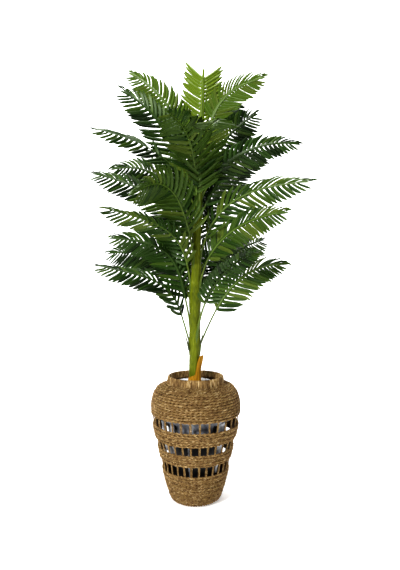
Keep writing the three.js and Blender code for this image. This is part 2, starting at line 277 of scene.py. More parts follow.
def around(r, angle, z):
    """Points at radii, angles and heights about the upright axis."""
    return np.stack([r * np.cos(angle), r * np.sin(angle), z], 1)


def stretched(maps, factor, shift=0):
    """A corner map whose first axis, along the piece, is drawn out and moved on."""
    chart = maps.copy()
    chart[:, :, 0] = chart[:, :, 0] * factor + shift
    return chart


def outward(points, corners, maps):
    """Turns a closed part's faces round if they point inwards."""
    a, b, c = (points[corners[:, k]] for k in range(3))
    if (a * np.cross(b, c)).sum() < 0:
        return points, corners[:, ::-1], maps[:, ::-1]
    return points, corners, maps


# %% Joining parts into a piece


def assemble(name, parts, finish, stands_for=(), slot=None, crisp=False):
    """Joins (points, triangles, corner map) into one piece that rides on the plant."""
    starts = np.cumsum([0] + [len(points) for points, _, _ in parts])
    points = np.concatenate([points for points, _, _ in parts]) * 0.001
    corners = np.concatenate([tris + start for (_, tris, _), start in zip(parts, starts)])
    maps = np.concatenate([chart for _, _, chart in parts])
    mesh = bpy.data.meshes.new(name)
    mesh.vertices.add(len(points))
    mesh.vertices.foreach_set("co", points.astype(np.float32).ravel())
    mesh.loops.add(corners.size)
    mesh.polygons.add(len(corners))
    mesh.polygons.foreach_set("loop_start", np.arange(0, corners.size, 3, dtype=np.int32))
    mesh.polygons.foreach_set("vertices", corners.astype(np.int32).ravel())
    layer = mesh.uv_layers.new(name="strand")
    layer.uv.foreach_set("vector", maps.astype(np.float32).ravel())
    mesh.update(calc_edges=True)
    mesh.shade_smooth()
    if crisp:
        mesh.set_sharp_from_angle(angle=math.radians(24))
    return finished(name, mesh, finish, stands_for)


def finished(name, mesh, finish, stands_for=()):
    """Gives a mesh its finish and its body, and hides the CAD nodes that it stands for."""
    mesh.materials.append(finish.material)
    piece = bpy.data.objects.new(name, mesh)
    bpy.context.scene.collection.objects.link(piece)
    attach(piece, "root")
    if stands_for:
        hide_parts(*stands_for)
    print(name, "triangles", sum(len(face.vertices) - 2 for face in mesh.polygons))
    return piece


# %% [markdown]
# ## Seagrass
# Seagrass is dried blades twisted into two-ply cord: straw yellow where the light catches
# a ply, brown to olive in between, with fine fibres along each ply. The colour has to
# follow the cord, so the finish reads the strand's own map: slow noise along it deals out
# the tones, and noise drawn out along it makes the fibres.

# %% Seagrass finish


def seagrass_finish(name, dark, middle, light, straw):
    """Straw tones that change along each strand, with fibres along it."""
    grass = Finish(name, middle, 0.75, Specular_IOR_Level=0.2)
    tones = grass.cloud(grass.strand((0.55, 0.8, 1)), 1.0, 3, 0.7)
    fibres = grass.cloud(grass.strand((0.9, 9, 1)), 1.0, 3, 0.6)
    colour = grass.ramp(tones, [(0.33, dark), (0.45, middle), (0.55, light), (0.68, straw)])
    streak = grass.ramp(fibres, [(0.3, (150, 140, 120)), (0.6, (255, 255, 255))])
    grass.wire(grass.blend(1.0, colour, streak, "MULTIPLY"), "Base Color")
    grass.bump(fibres, 0.6, 0.0012)
    return grass


seagrass = seagrass_finish("seagrass_cord", (70, 47, 22), (138, 108, 66), (170, 139, 88),
                           (232, 204, 152))
# Painted shade: the same seagrass in darker tones, for the basket's inside wall, floor disc and
# collar core.
shade_grass = seagrass_finish("seagrass_painted_shade", (50, 34, 14), (88, 64, 32), (112, 84, 46),
                              (140, 110, 62))
print("seagrass finishes ready")

# %% [markdown]
# ## The basket's rows
# The wall is twined: in every row two cords run round and cross each other between the
# thirty pairs of stakes, so the outside shows slanting dashes. We draw the wall's outer
# line once, walk along it in steps of one cord, and wind two plies round each row. On the
# shoulder all rows turn the same way. In the bands and at the foot they alternate, which
# gives the herringbone. Small random swings keep it from looking machined.

# %% The wall's line and where its rows lie
WALL = [
    (98, 0), (108, 16), (116, 41), (124, 65), (130, 90), (136.5, 115), (140.6, 139),
    (144.7, 164), (151, 188), (157, 213), (161, 238), (169, 262), (175, 287), (178, 312),
    (180.5, 336), (184, 361), (185.5, 386), (181.5, 410), (174, 435), (158, 458), (118, 475),
]
WINDOWS = [(133.3, 170.2), (221.4, 254.2), (312.6, 349.5)]
CORD, INSET = 10.4, 5.3  # height of a row, and how far its middle lies inside the line
STAKES = 30


def run(line):
    """Length along a line of points, up to each of them."""
    return np.concatenate([[0], np.cumsum(np.hypot(*np.diff(line, axis=0).T))])


def trace(place, knots, line):
    """Radius and height of a line at places along it."""
    return np.array([np.interp(place, knots, values) for values in line.T])


line = np.array(WALL, float)
reach = run(line)
fine = np.linspace(0, reach[-1], 900)
wall_r, wall_z = trace(fine, reach, line)
kernel = np.hanning(41) / np.hanning(41).sum()
wall_r[20:-20] = np.convolve(wall_r, kernel, "valid")
wall_z[20:-20] = np.convolve(wall_z, kernel, "valid")
wall_line = np.stack([wall_r, wall_z], 1)
print("wall length", round(reach[-1]), "mm")

# %% Rows of a band


def rows_between(low, high):
    """(radius, height, tilt of the outward way) of the rows of one band."""
    first, last = np.interp([low, high], wall_z, fine)
    count = max(2, round((last - first) / CORD))
    middles = first + (np.arange(count) + 0.5) * (last - first) / count
    out = []
    for place in middles:
        r, z = trace(place, fine, wall_line)
        dr, dz = trace(place + 2, fine, wall_line) - trace(place - 2, fine, wall_line)
        size = math.hypot(dr, dz)
        out.append((r - INSET * dz / size, z + INSET * dr / size, math.atan2(-dr, dz)))
    return out


# %% Wind two plies along a row
row_tube = tube(STAKES * 9, 6, ring=True)


def wander(along, knots, amount):
    """Smooth random swings along a strand whose end meets its start."""
    heights = luck.normal(0, amount, knots + 1)
    heights[-1] = heights[0]
    place = np.clip(along, 0, 1) * knots
    low = np.minimum(place.astype(int), knots - 1)
    part = (1 - np.cos(np.pi * (place - low))) / 2
    return heights[low] * (1 - part) + heights[low + 1] * part


def twined_row(radius, height, tilt, hand, shift, plump=1.0):
    """Both plies of one row of the weave."""
    along, turn, corners, maps = row_tube
    lap = 2 * np.pi * along
    sag = wander(along, 17, 0.45)
    bulge = wander(along, 60, 0.35)
    made = []
    for ply in (0, 1):
        wind = hand * STAKES * lap + shift + ply * np.pi + wander(along, 40, 0.12)
        thick = plump * (1 + wander(along, 120, 0.07))
        out = 2.9 * np.cos(wind) + bulge + 0.8 + 2.7 * thick * np.cos(turn)
        up = 2.3 * np.sin(wind) + sag + 2.9 * thick * np.sin(turn)
        r = radius + out * math.cos(tilt) - up * math.sin(tilt)
        z = height + out * math.sin(tilt) + up * math.cos(tilt)
        chart = stretched(maps, 2 * np.pi * radius / 10, luck.uniform(0, 900))
        made.append(outward(around(r, lap, z), corners, chart))
    return made


bands = {
    "foot": rows_between(1, 132), "lower_band": rows_between(171, 221),
    "upper_band": rows_between(254, 312), "shoulder": rows_between(350, 475),
}
for band, rows in bands.items():
    parts = []
    for i, (radius, height, tilt) in enumerate(rows):
        hand = 1 if band == "shoulder" or i % 2 else -1
        proud = 1.2 if band == "shoulder" and i == 0 else 0
        parts += twined_row(radius + proud, height, tilt, hand, luck.uniform(0, 6.28))
    assemble(f"weave_{band}", parts, seagrass, ["basket_body"], "seagrass")
    print(band, "rows", len(rows))

# %% [markdown]
# ## Stakes in the open rows
# Between the bands the wall is open, and each stake shows as a pair of thin cords side by
# side. They are twisted too, much finer. A straight tube is wound twice for each cord, and its
# ends go into the rows above and below so none hangs loose.

# %% Stake cords
stake_tube = tube(26, 6)
PLY, TWIST = 1.35, 13  # radius of a stake's ply, and the height of one turn


def stake_cord(turn, low, high, lean):
    """Both plies of one upright cord at an angle round the basket."""
    along, swing, corners, maps = stake_tube
    z = low + (high - low) * along
    wall = np.interp(z, wall_z, wall_r) - 6.0
    made = []
    for ply in (0, 1):
        wind = (high - low) / TWIST * 2 * np.pi * along + ply * np.pi
        side = np.cos(wind) + PLY * np.cos(swing) + lean * (along - 0.5)
        out = np.sin(wind) + PLY * np.sin(swing)
        points = around(wall + out, turn + side / wall, z)
        chart = stretched(maps, (high - low) / 10, luck.uniform(0, 900))
        made.append(outward(points, corners, chart))
    return made


parts = []
for low, high in WINDOWS:
    for i in range(STAKES):
        for half in (-1, 1):
            wall = np.interp((low + high) / 2, wall_z, wall_r)
            turn = 2 * np.pi * i / STAKES + (half * 2.2 + luck.normal(0, 0.5)) / wall
            parts += stake_cord(turn, low - 8, high + 8, luck.normal(0, 1.6))
assemble("stakes", parts, seagrass, ["basket_body"], "seagrass")

# %% [markdown]
# ## The wall's inner side and the floor
# From above one looks onto the back of the weave, and between two rows no daylight comes
# through. A turned lining with a ripple for each row is that inner side. It is a closed
# section spun round the axis, one for each band. A flat disc is the floor, and a coil of
# the same cord lies under it. Lining and disc take a darker copy of the seagrass, which is
# painted shade.

# %% Spin closed sections


def spun(name, sections, finish, stands_for, steps=96):
    """Spins closed sections of (radius, height) round the upright axis."""
    bm = bmesh.new()
    for section in sections:
        verts = [bm.verts.new((r * 0.001, 0, z * 0.001)) for r, z in section]
        edges = [bm.edges.new((verts[i - 1], verts[i])) for i in range(len(verts))]
        bmesh.ops.spin(bm, geom=verts + edges, axis=(0, 0, 1), cent=(0, 0, 0), dvec=(0, 0, 0),
                       angle=2 * math.pi, steps=steps, use_merge=True, use_duplicate=False)
    bmesh.ops.remove_doubles(bm, verts=bm.verts, dist=1e-5)
    bmesh.ops.recalc_face_normals(bm, faces=bm.faces)
    layer = bm.loops.layers.uv.new("strand")
    for face in bm.faces:
        middle = math.atan2(face.calc_center_median().y, face.calc_center_median().x)
        for loop in face.loops:
            x, y, z = loop.vert.co
            turn = math.atan2(y, x)
            turn += 2 * math.pi * round((middle - turn) / (2 * math.pi))
            loop[layer].uv = (turn * 15, (z + math.hypot(x, y)) * 25)
    mesh = bpy.data.meshes.new(name)
    bm.to_mesh(mesh)
    bm.free()
    mesh.shade_smooth()
    return finished(name, mesh, finish, stands_for)


FRONT, BACK, DIP = 0.5, 5.2, 3.6  # how far the lining lies inside the rows' middle
lining = []
for band, rows in bands.items():
    outer = [(r - FRONT * math.cos(t), z - FRONT * math.sin(t)) for r, z, t in rows]
    inner = []
    for i, (r, z, t) in enumerate(rows):
        inner.append((r - BACK * math.cos(t), z - BACK * math.sin(t)))
        if i + 1 < len(rows):
            r2, z2, _ = rows[i + 1]
            inner.append(((r + r2) / 2 - DIP * math.cos(t), (z + z2) / 2 - DIP * math.sin(t)))
    lining.append(outer + inner[::-1])
spun("wall_inside", lining, shade_grass, ["basket_body"])
spun("floor_disc", [[(3, 3.5), (92, 3.5), (94, 5), (92, 7.5), (3, 7.5)]], shade_grass,
     ["basket_body"])

# %% Coil of cord under the floor
parts = []
for i in range(9):
    hand = 1 if i % 2 else -1
    parts += twined_row(90 - 10.2 * i, 7.4, -math.pi / 2, hand, luck.uniform(0, 6), 0.85)
assemble("floor_coil", parts, seagrass, ["basket_body"], "seagrass")

# %% [markdown]
# ## Collar
# The mouth is finished with strands that are laid over a core, close side by side, from
# the shoulder up over the crest and down inside. Each strand follows the same path in its
# own upright plane, a little wider or leaning more than the next, over a spun core.

# %% Wrapped strands of the collar
COLLAR_PATH = [
    (119.5, 467), (117.6, 475), (117.4, 483), (116.6, 492), (114.6, 498.5), (111, 501.6),
    (107.2, 500.4), (105.0, 495.5), (104.4, 487), (104.8, 478), (105.4, 473),
]
LOOPS = 104
loop_tube = tube(20, 8)


def collar_strand(turn):
    """One flattened strand over the collar's core."""
    along, swing, corners, maps = loop_tube
    path = np.array(COLLAR_PATH)
    knots = np.linspace(0, 1, len(path))
    r0, z0 = trace(along, knots, path)
    dr, dz = trace(along + 0.03, knots, path) - trace(along - 0.03, knots, path)
    size = np.hypot(dr, dz)
    out = 2.1 * np.sin(swing) * (1 + 0.1 * luck.normal())
    r, z = r0 + out * dz / size - 2.2 * dz / size, z0 - out * dr / size + 2.2 * dr / size
    wide = 3.9 * (1 + 0.12 * luck.normal())
    side = wide * np.cos(swing) + luck.normal(0, 1.3) * (along - 0.4) + luck.normal(0, 0.5)
    angle = turn + side / np.maximum(r0, 100)
    return outward(around(r, angle, z), corners, stretched(maps, 3, luck.uniform(0, 900)))


parts = [collar_strand(2 * np.pi * i / LOOPS) for i in range(LOOPS)]
assemble("collar_strands", parts, seagrass, ["basket_collar"], "seagrass")
# The core takes the darker seagrass copy, which is painted shade between the strands.
core = [(108, 470), (114.5, 470), (115.5, 484), (113.5, 495), (111, 498), (108.5, 496), (107, 486)]
spun("collar_core", [core], shade_grass, ["basket_collar"])

# %% [markdown]
# ## Nursery pot
# Between the stakes one sees a thin black pot, blow-moulded, tapering down, with a rolled
# rim. One section spun round the axis makes it, with its corners cut a little. It is closed
# on top, where the film hides it.

# %% Pot
pot_black = Finish("pot_black", (14, 13, 13), 0.42)
scuffs = pot_black.cloud(pot_black.spot((60, 60, 14)), 1.0, 3)
pot_black.tones(scuffs, [(0.35, (9, 9, 9)), (0.7, (30, 27, 26))])
pot_black.bump(scuffs, 0.15, 0.0008)
pot_line = [
    (0.02, 8.6), (80, 8.6), (84, 10), (88.5, 30), (104, 170), (115.2, 296), (118.8, 299),
    (119.8, 303), (119.8, 312), (118.4, 317), (114, 317.6), (0.02, 317.6),
]
spun("nursery_pot_shell", [pot_line], pot_black, ["nursery_pot"])

# %% [markdown]
# ## Packing film
# Clear film is stuffed between pot and basket so the palm stands straight. It catches the
# light in hard creases, and looks grey where it lies over the dark pot and white where it
# is bunched. We give it those two looks as opaque finishes. Near the basket's mouth the grey
# finish turns near-white, which is painted light. A turned body is creased by folded noise.
# A wide grey lobe hangs over the front of the pot, and bunched white folds hang outside it,
# where the windows show white.

# %% Film finish
film_clear = Finish("film_clear", (176, 180, 190), 0.22, Specular_IOR_Level=0.6)
fog = film_clear.cloud(film_clear.spot((22, 22, 14)), 1.0, 3)
greys = [(0.3, (84, 87, 95)), (0.55, (124, 127, 134)), (0.7, (196, 198, 202))]
grey_fog = film_clear.ramp(fog, greys)
# Painted light: above 0.42 m, near the basket's mouth, the film blends to near-white as if lit from
# above.
film_height = film_clear.add("SeparateXYZ", {"Vector": film_clear.spot((1, 1, 1))}).outputs["Z"]
painted_light_heights = {"Value": film_height, "From Min": 0.42, "From Max": 0.45}
painted_light_mask = film_clear.add("MapRange", painted_light_heights).outputs[0]
film_clear.wire(film_clear.blend(painted_light_mask, grey_fog, seen(218, 221, 226)), "Base Color")
film_clear.bump(film_clear.cloud(film_clear.spot((120, 120, 70)), 1.0, 4), 0.5, 0.002)
film_white = Finish("film_bunched", (232, 234, 238), 0.25, Specular_IOR_Level=0.6)
haze = film_white.cloud(film_white.spot((40, 40, 20)), 1.0, 3)
film_white.tones(haze, [(0.3, (150, 154, 162)), (0.6, (222, 224, 228))])
film_white.bump(film_white.cloud(film_white.spot((110, 110, 60)), 1.0, 4), 0.5, 0.002)


def creased(point, scale):
    """Folded noise with hard ridges, -1 to 1."""
    p = Vector(point) * scale
    return 1 - 2 * abs(noise.noise(p)) - abs(noise.noise(p * 2.1 + Vector((5, 3, 1))))


# %% Film over the pot
FILM = [
    (0, 318.6), (100, 318.6), (122, 320), (146, 330), (158, 345), (163, 362), (164, 386),
    (160, 408), (152, 430), (138, 446), (118, 456), (100, 464), (84, 471), (60, 476), (0, 477),
]
along, lap, corners, maps = tube(70, 150, pointed=True)
line = np.array(FILM, float)
knots = run(line)
r, z = trace(along * knots[-1], knots, line)
points = []
for radius, height, angle in zip(r, z, lap):
    at = (radius * math.cos(angle), radius * math.sin(angle), height * 1.3)
    fold = creased(at, 0.022) * 7 + creased(at, 0.06) * 2.5
    calm = min(1, radius / 90) if height < 440 else min(1, radius / 30)
    swell = fold * calm * (0.3 if height < 325 else 1)
    if height > 455:
        points.append((radius * math.cos(angle), radius * math.sin(angle), height - 4 + swell * 0.9))
    else:
        reach_out = max(10.0 if radius > 20 else radius, radius + swell - 2)
        points.append((reach_out * math.cos(angle), reach_out * math.sin(angle), height))
film_body = outward(np.array(points), corners, maps)

# %% Film that hangs outside the pot
fold_tube = tube(26, 44)


def hanging_fold(azimuth, spread, low, radius, high=330):
    """A bunched lobe of film: wide at its top, ragged at its foot."""
    turn = math.radians(azimuth)
    corners, maps = fold_tube[2:]
    points = []
    for along, swing in zip(*fold_tube[:2]):
        z = high + (low - high) * along
        spot = Vector((swing / (2 * math.pi) * 9, turn * 7, low * 0.01))
        ragged = 1 - 0.35 * along * abs(noise.noise(spot))
        side = turn + spread * math.cos(swing) * (1 - 0.25 * along) * ragged
        slope = (z - 220) * 0.16
        at = Vector((side * 130, math.sin(swing) * 8, z))
        out = radius + slope + 3.0 * math.sin(swing) + creased(at, 0.045) * 5
        points.append((out * math.cos(side), out * math.sin(side), z - 14 * ragged * along))
    return outward(np.array(points), corners, maps)


# Azimuth, half width in radians, height of the foot, radius.
FOLDS = [
    (208, 0.12, 226, 126), (231, 0.07, 228, 127), (318, 0.17, 224, 126), (257, 0.03, 132, 113),
    (322, 0.04, 136, 114), (70, 0.3, 228, 126), (130, 0.16, 240, 126),
]
parts = [hanging_fold(*fold) for fold in FOLDS]
assemble("film_folds", parts, film_white, ["film_packing"], "film")
parts = [film_body, hanging_fold(269, 0.54, 294, 127, 334)]
assemble("film_over_pot", parts, film_clear, ["film_packing"], "film")

# %% [markdown]
# ## Trunk
# The trunk is moulded to look like leaf sheaths wrapped one over another. Each sheath ends
# in a slanting edge just under its frond, and the one above comes out from behind it. We
# take the trunk's taper and lean from the model and let every sheath add a thin step that
# stops at its edge, so the steps sum up to the relief.

# %% Trunk measures and the frond list
TRUNK = [
    (25, 472.3), (23.4, 500), (23, 600), (23, 750), (24, 850), (21, 950), (17, 1056),
    (14, 1150), (11, 1250), (8, 1330), (3.5, 1362),
]
# Root height, azimuth, angle from upright at the root and at the tip, middle of the bend,
# how sudden it is, length, roll of the blade, bare share, size of the leaflets, tint.
# The grey tint, a dark grey-green on the fronds at the back, is painted shade.
FRONDS = [
    (633, 6, 23, 87, 0.65, 1.5, 521, 70, 0.36, 1.0, "leafy"),
    (648, 190, 16, 77, 0.44, 2.9, 522, -39, 0.23, 0.92, "deep"),
    (700, 301, 21, 80, 0.42, 1.1, 516, -39, 0.27, 0.62, "deep"),
    (720, 100, 14, 92, 0.5, 1.2, 505, -9, 0.27, 1.0, "grey"),
    (744, 178, 11, 83, 0.54, 2.5, 521, -80, 0.17, 1.0, "deep"),
    (790, 72, 20, 95, 0.5, 1.2, 500, 15, 0.2, 1.0, "grey"),
    (816, 154, 20, 92, 0.38, 1.7, 507, -65, 0.28, 1.15, "deep"),
    (832, 44, 25, 75, 0.28, 1.2, 516, 51, 0.28, 1.15, "deep"),
    (884, 322, 12, 89, 0.39, 1.1, 496, 85, 0.26, 0.92, "leafy"),
    (886, 210, 11, 80, 0.38, 2.2, 512, 22, 0.17, 0.85, "leafy"),
    (932, 53, 34, 94, 0.36, 1.1, 437, 65, 0.17, 1.15, "deep"),
    (950, 125, 20, 92, 0.5, 1.2, 500, -29, 0.2, 1.0, "grey"),
    (1003, 236, 21, 120, 0.59, 2.0, 502, 62, 0.28, 1.15, "leafy"),
    (1013, 341, 18, 88, 0.4, 1.6, 545, 57, 0.2, 1.15, "leafy"),
    (1020, 88, 18, 96, 0.5, 1.2, 490, 2, 0.2, 1.0, "grey"),
    (1071, 174, 22, 76, 0.3, 1.0, 517, -60, 0.23, 1.0, "deep"),
    (1085, 49, 25, 86, 0.58, 1.3, 463, 43, 0.2, 1.15, "grey"),
    (1122, 164, 24, 95, 0.59, 1.3, 487, -78, 0.28, 1.0, "deep"),
    (1130, 118, 18, 88, 0.5, 1.3, 480, -23, 0.2, 1.0, "grey"),
    (1160, 76, 12, 75, 0.5, 1.3, 470, 12, 0.2, 1.0, "grey"),
    (1172, 26, 26, 97, 0.72, 1.2, 449, 65, 0.17, 1.15, "deep"),
    (1187, 202, 19, 83, 0.42, 1.4, 526, -46, 0.23, 1.0, "deep"),
    (1189, 250, 5, 90, 0.52, 2.1, 499, 28, 0.2, 1.15, "leafy"),
    (1224, 286, 5, 101, 0.56, 2.6, 457, 4, 0.2, 1.15, "leafy"),
    (1237, 10, 20, 96, 0.47, 0.9, 516, 79, 0.26, 0.92, "deep"),
    (1239, 193, 21, 66, 0.71, 1.3, 517, -79, 0.28, 1.15, "deep"),
    (1250, 26, 11, 56, 0.45, 1.2, 477, 75, 0.28, 1.15, "deep"),
    (1254, 117, 14, 27, 0.51, 1.3, 459, -22, 0.17, 1.15, "grey"),
    (1307, 70, 3, 6, 0.5, 1.3, 500, 21, 0.25, 1.02, "bright"),
    (1309, 347, 5, 77, 0.64, 2.0, 521, 79, 0.24, 0.96, "young"),
    (1315, 170, 13, 59, 0.61, 1.2, 563, -79, 0.28, 0.93, "young"),
    (1331, 38, 5, 94, 0.62, 3.0, 472, 84, 0.23, 1.15, "grey"),
]
heights, widths = [z for _, z in TRUNK], [r for r, _ in TRUNK]


def trunk_radius(z):
    return np.interp(z, heights, widths)


FOOT_X, TIP_SHIFT = -4.4, 22  # where the trunk's foot stands, and how far its tip leans off
LEAN_FOOT, LEAN_TIP = 500, 1330  # heights between which it does


def lean(z):
    return FOOT_X + TIP_SHIFT * ((z - LEAN_FOOT) / (LEAN_TIP - LEAN_FOOT)) ** 2


# %% Trunk with its sheaths
# Height of a sheath's edge, which way its top faces in radians, how far the edge slants
# down, and the sheath's thickness.
SHEATHS = [(root + 4, math.radians(azimuth), 95 if root < 1000 else 60, 0.8)
           for root, azimuth, *_ in FRONDS]
SHEATHS += [(588, 4.4, 80, 1.2), (679, 3.5, 120, 1.2), (690, 6.0, 110, 1.2), (780, 4.9, 90, 1.1),
            (850, 4.1, 90, 1.0), (930, 5.3, 90, 1.0)]
along, turn, corners, maps = tube(300, 72)
z = heights[0] + (heights[-1] - heights[0]) * along
relief = np.zeros(len(z))
for top, side, drop, step in SHEATHS:
    edge = top - drop * (1 - np.cos(turn - side)) / 2
    below = 1 / (1 + np.exp(np.clip((z - edge) / 0.9, -30, 30)))
    relief += step * (below - np.clip((top - drop / 2 - z) / drop + 0.5, 0, 1))
relief += 0.25 * np.sin(turn * 9 + 2 * np.sin(z / 90)) * np.clip((z - 480) / 60, 0, 1)
r = np.maximum(trunk_radius(z) + relief, 1.2)
points = around(r, turn, z)
points[:, 0] += lean(z)

trunk_green = Finish("trunk_green", (100, 108, 24), 0.45, Specular_IOR_Level=0.25,
                     Specular_Tint=(0.95, 1, 0.6, 1))
streaks = trunk_green.cloud(trunk_green.strand((0.35, 26, 1)), 1.0, 3, 0.6)
patches = trunk_green.cloud(trunk_green.spot((16, 16, 9)), 1.0, 2)
mixed = trunk_green.add("Math", {0: streaks, 1: patches}, operation="ADD")
half = trunk_green.add("Math", {0: mixed.outputs[0], 1: 0.5}, operation="MULTIPLY")
trunk_green.tones(half.outputs[0], [
    (0.32, (58, 66, 6)), (0.46, (84, 94, 10)), (0.58, (104, 114, 16)), (0.72, (134, 140, 34)),
])
trunk_green.bump(streaks, 0.35, 0.0012)
trunk = outward(points, corners, stretched(maps, 89))
assemble("trunk_sheaths", [trunk], trunk_green, ["trunk"], "trunk_green")

# %% [markdown]
# ## Dry sheath and its tips
# Round the trunk's foot lies one dried sheath, ochre and papery. Its edge runs low round
# the front and rises to a tongue on the right that stands a little off. Two dark tips of
# other sheaths stick out higher up. The sheath is the straight tube again, turned back on
# itself into an outside and an inside skin, and each tip is a thin blade that curls away.

# %% Ochre sheath
TONGUE = -0.8  # which way the tongue points, in radians
SHEATH_FOOT = 472.6


def sheath_edge(angle):
    """Height of the dry sheath's edge round the trunk."""
    off = np.arctan2(np.sin(angle - TONGUE), np.cos(angle - TONGUE))
    return 497 + 9 * np.cos(off) + 82 * np.exp(-np.abs(off / 0.52) ** 4)


# Going up outside and down inside makes one closed wall whose two skins meet at the edge.
along, turn, corners, maps = tube(48, 96)
up = 1 - np.abs(2 * along - 1)
outside = along < 0.5
top = sheath_edge(turn) + 1.2 * np.sin(turn * 23) + 0.8 * np.sin(turn * 41)
z = SHEATH_FOOT + up * (top - SHEATH_FOOT)
off = 21 * np.clip((z - 515) / 75, 0, 1) ** 1.3
r = 24.9 + 1.4 * (1 - up) + off + np.where(outside, 1.1, 0) + 0.3 * np.sin(turn * 17 + z / 30)
r += np.where(z < 520, trunk_radius(z) - 23.6, 0) * 0.6
points = around(r, turn, z)
points[:, 0] += lean(z)

tans = [(0.3, (118, 78, 8)), (0.5, (176, 124, 14)), (0.7, (206, 154, 34))]
ochre = grained("dry_ochre", (170, 112, 14), 0.65, (3, 40, 1), 3, tans, 0.5, 0.001,
                Specular_IOR_Level=0.2)
assemble("dry_sheath", [outward(points, corners, maps)], ochre, ["foot_sheath"], "dry_sheath")

# %% Sheath tips
blade_tube = tube(16, 8, pointed=True)


def beside(point, side, face, reach, rise):
    """Points beside a line: so far along its side and so far along its face."""
    return point + side * reach[:, None] + face * rise[:, None]


def tip(foot, point, width):
    """A thin curling point from the trunk outwards."""
    along, swing, corners, maps = blade_tube
    foot, point = np.array(foot, float), np.array(point, float)
    way = (point - foot) / np.linalg.norm(point - foot)
    away = np.array([foot[0] + 4, foot[1], 0])
    away = away / np.linalg.norm(away)
    side = np.cross(way, away)
    side = side / np.linalg.norm(side)
    face = np.cross(side, way)
    grow = width * (1 - along) ** 0.7 * np.minimum(1, along * 8 + 0.4)
    middle = foot + along[:, None] * (point - foot) + face * (3 * along * (along - 1))[:, None]
    points = beside(middle, side, face, grow * np.cos(swing), (0.35 * grow + 0.3) * np.sin(swing))
    return outward(points, corners, maps)


tip_tones = [(0.3, (34, 42, 14)), (0.7, (74, 84, 30))]
tip_green = grained("tip_green", (48, 58, 20), 0.55, (4, 14, 1), 3, tip_tones, 0.4, 0.0008)
TIPS = {"left": ((-26, -10, 600), (-46, -17, 682), 9), "right": ((20, -6, 628), (33.5, -11, 688), 8)}
for hand, blade in TIPS.items():
    assemble(f"{hand}_tip", [tip(*blade)], tip_green, [f"sheath_tip_{hand}"], "sheath_tip")

# %% [markdown]
# ## Fronds: the rule of growth
# Every frond follows the rule that shaped the model: a stem leaves the trunk upwards and
# bends outwards in its own upright plane, and its blade is rolled about the stem. We write
# the rule again here, so that finer leaflets grow from the same stems.

# %% Stems
BLADE_END = 0.95
STEPS = 60
# Where the blade starts, as a share of the stem, on three fronds at the top that lack their
# lower leaflets, by the height of their root. Other blades start a little nearer the trunk
# than the model's, and those half way up start nearest.
LATER = {1309: 0.48, 1315: 0.36, 1331: 0.62}
NEARER, NEAREST, HALF_WAY = 0.8, 0.5, (900, 1300)
BRIGHT_END = 0.9
SEAT = 2.4  # from the trunk's side to the middle of a stem that leaves it


def unit(ways):
    return ways / np.linalg.norm(ways, axis=1)[:, None]


class Stem:
    """Points, directions and blade sides along one frond's stem."""

    def __init__(self, row):
        root, azimuth, first, last, middle, sudden = row[:6]
        self.length, roll, self.bare, self.size, self.tint = row[6:]
        turn = math.radians(azimuth)
        self.root, self.turn, self.mood = root, turn, luck.uniform(0.2, 1)
        self.end = BRIGHT_END if self.tint == "bright" else BLADE_END
        nearer = NEAREST if HALF_WAY[0] < root < HALF_WAY[1] else NEARER
        self.first = LATER.get(root, nearer * self.bare)
        out = np.array([math.cos(turn), math.sin(turn), 0])
        self.side = np.array([-math.sin(turn), math.cos(turn), 0])
        s = (np.arange(STEPS) + 0.5) / STEPS
        before, after = s ** sudden, (middle / (1 - middle) * (1 - s)) ** sudden
        angle = np.radians(first + (last - first) * before / (before + after))
        self.ways = np.sin(angle)[:, None] * out + np.cos(angle)[:, None] * np.array([0, 0, 1])
        start = out * (trunk_radius(root) + SEAT) + np.array([lean(root), 0, root])
        walk = np.cumsum(self.ways, 0) * self.length / STEPS
        self.points = np.vstack([start, start + walk])
        self.roll = math.radians(roll)

    def at(self, along):
        """Point, direction, blade side and blade face at places along the stem."""
        exact = np.clip(along, 0, 1) * STEPS
        low = np.minimum(exact.astype(int), STEPS - 1)
        part = (exact - low)[:, None]
        point = self.points[low] * (1 - part) + self.points[low + 1] * part
        ahead = np.minimum(low + 1, STEPS - 1)
        way = unit(self.ways[low] * (1 - part) + self.ways[ahead] * part)
        face0 = np.cross(way, self.side)
        turned = (self.roll * np.clip(along / self.bare, 0, 1))[:, None]
        side = self.side * np.cos(turned) + face0 * np.sin(turned)
        return point, way, side, np.cross(way, side)


def thickness(along):
    return 1.2 + 3.0 * (1 - along) ** 1.6


stems = [Stem(row) for row in FRONDS]
print("stems", len(stems), "highest point", round(max(s.points[:, 2].max() for s in stems)), "mm")

# %% [markdown]
# ## Leaflets
# A leaflet is a strap of cloth, creased along its midrib, up to 16 mm wide and a tenth of a
# metre long, cut from a strip that runs along the rib. Twenty stand on each side, a little
# out of line with their partners, more forward and shorter towards the tip. Those on the
# upper side lie closer to the rib, those on the lower side are shorter. Each leaves the rib
# wide, bends forward and hangs. The template is a tube squeezed flat whose ends close to
# points. A leaflet that would pass through another frond is lifted, lowered or shortened.
# Where no position is clear it takes the one with the fewest crossings, and it is left out
# only when its midrib would run into another in all of them.

# %% Leaflet measures
LEAVES = 20
LEAF_LENGTH, LEAF_WIDTH = 118, 16
# How steeply a leaflet folds, its least width, how far its angle closes towards the blade's
# tip, and how much the upper side closes, in degrees. The bright frond has its own values.
CREASE = 0.8
NARROW, NARROWEST = 10, {"bright": 14.5}
CLOSE, CLOSING = 22, {"bright": 3}
UPPER, LOWEST_UPPER = 14, 26
RINGS = [0, 0.015, 0.09, 0.2, 0.34, 0.48, 0.61, 0.73, 0.83, 0.92, 0.98, 1]
WIDTHS = [0, 0.8, 0.94, 0.96, 1, 1, 0.98, 0.92, 0.78, 0.5, 0.22, 0]
leaf_tube = tube(len(RINGS) - 1, 8, pointed=True)
